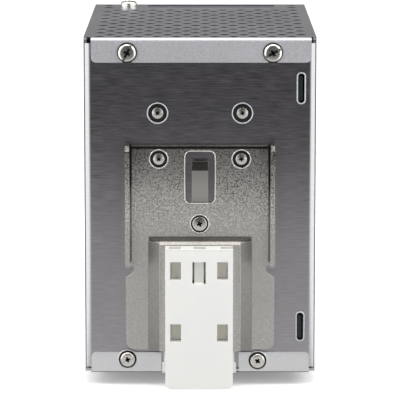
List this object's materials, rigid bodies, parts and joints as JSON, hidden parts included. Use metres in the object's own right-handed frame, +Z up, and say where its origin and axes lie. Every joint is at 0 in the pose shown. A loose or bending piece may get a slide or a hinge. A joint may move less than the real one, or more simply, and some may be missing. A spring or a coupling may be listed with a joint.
{
  "type": "din rail power supply",
  "caption": "Metal-cased power supply for a 35 mm rail, with a sprung release slider, vented covers and screw terminals.",
  "frame": {"origin": "centre of the rail seat: the middle of the 35 mm rail, on the plane its front rests against", "axes": "+Z up, +Y from the case towards the rail and the wall, -Y the terminal side, +X to the left as seen from the rail side"},
  "size_m": [0.0856, 0.1389, 0.132],
  "materials": {
    "case_sheet": "satin, brushed across",
    "cover_sheet": "satin",
    "plated_steel": "dull plated, mottled",
    "slider_nylon": "satin, slightly translucent",
    "screw_nickel": "polished plating",
    "spring_steel": "bright wire",
    "terminal_black": "satin",
    "contact_brass": "tinned brass",
    "board": "satin solder mask",
    "sheet_clear": "satin film",
    "trimmer_blue": "satin",
    "dial_white": "satin",
    "led_green": "gloss, tinted",
    "sleeve_dark": "gloss sleeve",
    "ferrite": "matt",
    "tape_yellow": "satin tape",
    "copper_wire": "enamelled",
    "film_yellow": "satin",
    "heatsink_alu": "mill finish",
    "epoxy_black": "matt moulding",
    "ceramic_white": "glazed",
    "relay_blue": "satin"
  },
  "bodies": {
    "case": {"chassis": "case_sheet", "top_cover": "cover_sheet", "bottom_cover": "cover_sheet", "front_panel": "cover_sheet", "din_bracket": "plated_steel", "bracket_screws": "screw_nickel", "bracket_centre_screw": "screw_nickel", "heat_spreader_screws": "screw_nickel", "top_rear_screws": "screw_nickel", "bottom_rear_screws": "screw_nickel", "top_front_screw": "screw_nickel", "bottom_front_screw": "screw_nickel", "side_screws": "screw_nickel", "insulation_sheet": "sheet_clear", "main_board": "board", "output_terminal_block": "terminal_black", "output_contacts": "contact_brass", "input_terminal_block": "terminal_black", "input_contacts": "contact_brass", "trimmer_body": "trimmer_blue", "status_led": "led_green", "bulk_capacitors": "sleeve_dark", "transformer_core": "ferrite", "transformer_coil": "tape_yellow", "boost_choke": "copper_wire", "line_filter_chokes": "copper_wire", "film_capacitors": "film_yellow", "heat_spreader": "heatsink_alu", "primary_heatsink": "heatsink_alu", "power_transistors": "epoxy_black", "bridge_rectifier": "epoxy_black", "output_capacitors": "sleeve_dark", "output_choke": "copper_wire", "fuse": "ceramic_white", "relay": "relay_blue", "control_board": "board"},
    "slider": {"rail_slider": "slider_nylon", "slider_spring": "spring_steel"},
    "dial": {"trimmer_dial": "dial_white"},
    "output_screw_1": {"output_screw_1": "screw_nickel"},
    "output_clamp_1": {"output_clamp_1": "screw_nickel"},
    "output_screw_2": {"output_screw_2": "screw_nickel"},
    "output_clamp_2": {"output_clamp_2": "screw_nickel"},
    "output_screw_3": {"output_screw_3": "screw_nickel"},
    "output_clamp_3": {"output_clamp_3": "screw_nickel"},
    "output_screw_4": {"output_screw_4": "screw_nickel"},
    "output_clamp_4": {"output_clamp_4": "screw_nickel"},
    "output_screw_5": {"output_screw_5": "screw_nickel"},
    "output_clamp_5": {"output_clamp_5": "screw_nickel"},
    "output_screw_6": {"output_screw_6": "screw_nickel"},
    "output_clamp_6": {"output_clamp_6": "screw_nickel"},
    "input_screw_1": {"input_screw_1": "screw_nickel"},
    "input_clamp_1": {"input_clamp_1": "screw_nickel"},
    "input_screw_2": {"input_screw_2": "screw_nickel"},
    "input_clamp_2": {"input_clamp_2": "screw_nickel"},
    "input_screw_3": {"input_screw_3": "screw_nickel"},
    "input_clamp_3": {"input_clamp_3": "screw_nickel"}
  },
  "joints": [
    {"name": "slider_pull", "type": "slide", "parent": "case", "child": "slider", "axis": [0, 0, -1], "range_m": [0, 0.006], "stiffness_N_per_m": 2500, "springref_m": -0.002, "deforming": ["slider_spring"]},
    {"name": "trimmer_turn", "type": "hinge", "parent": "case", "child": "dial", "pos_m": [-0.0245, -0.134, 0.024], "axis": [0, -1, 0], "range_deg": [-135, 135]},
    {"name": "output_screw_1_turn", "type": "hinge", "parent": "case", "child": "output_screw_1", "pos_m": [-0.0258, -0.1328, 0.049], "axis": [0, 1, 0], "range_deg": [0, 1440]},
    {"name": "output_clamp_1_rise", "type": "slide", "parent": "case", "child": "output_clamp_1", "axis": [0, -1, 0], "range_m": [0, 0.0022]},
    {"name": "output_screw_2_turn", "type": "hinge", "parent": "case", "child": "output_screw_2", "pos_m": [-0.0173, -0.1328, 0.049], "axis": [0, 1, 0], "range_deg": [0, 1440]},
    {"name": "output_clamp_2_rise", "type": "slide", "parent": "case", "child": "output_clamp_2", "axis": [0, -1, 0], "range_m": [0, 0.0022]},
    {"name": "output_screw_3_turn", "type": "hinge", "parent": "case", "child": "output_screw_3", "pos_m": [-0.0088, -0.1328, 0.049], "axis": [0, 1, 0], "range_deg": [0, 1440]},
    {"name": "output_clamp_3_rise", "type": "slide", "parent": "case", "child": "output_clamp_3", "axis": [0, -1, 0], "range_m": [0, 0.0022]},
    {"name": "output_screw_4_turn", "type": "hinge", "parent": "case", "child": "output_screw_4", "pos_m": [-0.0003, -0.1328, 0.049], "axis": [0, 1, 0], "range_deg": [0, 1440]},
    {"name": "output_clamp_4_rise", "type": "slide", "parent": "case", "child": "output_clamp_4", "axis": [0, -1, 0], "range_m": [0, 0.0022]},
    {"name": "output_screw_5_turn", "type": "hinge", "parent": "case", "child": "output_screw_5", "pos_m": [0.0082, -0.1328, 0.049], "axis": [0, 1, 0], "range_deg": [0, 1440]},
    {"name": "output_clamp_5_rise", "type": "slide", "parent": "case", "child": "output_clamp_5", "axis": [0, -1, 0], "range_m": [0, 0.0022]},
    {"name": "output_screw_6_turn", "type": "hinge", "parent": "case", "child": "output_screw_6", "pos_m": [0.0167, -0.1328, 0.049], "axis": [0, 1, 0], "range_deg": [0, 1440]},
    {"name": "output_clamp_6_rise", "type": "slide", "parent": "case", "child": "output_clamp_6", "axis": [0, -1, 0], "range_m": [0, 0.0022]},
    {"name": "input_screw_1_turn", "type": "hinge", "parent": "case", "child": "input_screw_1", "pos_m": [-0.0248, -0.1328, -0.0518], "axis": [0, 1, 0], "range_deg": [0, 1440]},
    {"name": "input_clamp_1_rise", "type": "slide", "parent": "case", "child": "input_clamp_1", "axis": [0, -1, 0], "range_m": [0, 0.0022]},
    {"name": "input_screw_2_turn", "type": "hinge", "parent": "case", "child": "input_screw_2", "pos_m": [-0.0153, -0.1328, -0.0518], "axis": [0, 1, 0], "range_deg": [0, 1440]},
    {"name": "input_clamp_2_rise", "type": "slide", "parent": "case", "child": "input_clamp_2", "axis": [0, -1, 0], "range_m": [0, 0.0022]},
    {"name": "input_screw_3_turn", "type": "hinge", "parent": "case", "child": "input_screw_3", "pos_m": [-0.0058, -0.1328, -0.0518], "axis": [0, 1, 0], "range_deg": [0, 1440]},
    {"name": "input_clamp_3_rise", "type": "slide", "parent": "case", "child": "input_clamp_3", "axis": [0, -1, 0], "range_m": [0, 0.0022]}
  ],
  "couplings": [
    {"joint": "output_screw_1_turn", "follows": "output_clamp_1_rise", "rad_per_m": 11412},
    {"joint": "output_screw_2_turn", "follows": "output_clamp_2_rise", "rad_per_m": 11412},
    {"joint": "output_screw_3_turn", "follows": "output_clamp_3_rise", "rad_per_m": 11412},
    {"joint": "output_screw_4_turn", "follows": "output_clamp_4_rise", "rad_per_m": 11412},
    {"joint": "output_screw_5_turn", "follows": "output_clamp_5_rise", "rad_per_m": 11412},
    {"joint": "output_screw_6_turn", "follows": "output_clamp_6_rise", "rad_per_m": 11412},
    {"joint": "input_screw_1_turn", "follows": "input_clamp_1_rise", "rad_per_m": 11412},
    {"joint": "input_screw_2_turn", "follows": "input_clamp_2_rise", "rad_per_m": 11412},
    {"joint": "input_screw_3_turn", "follows": "input_clamp_3_rise", "rad_per_m": 11412}
  ]
}
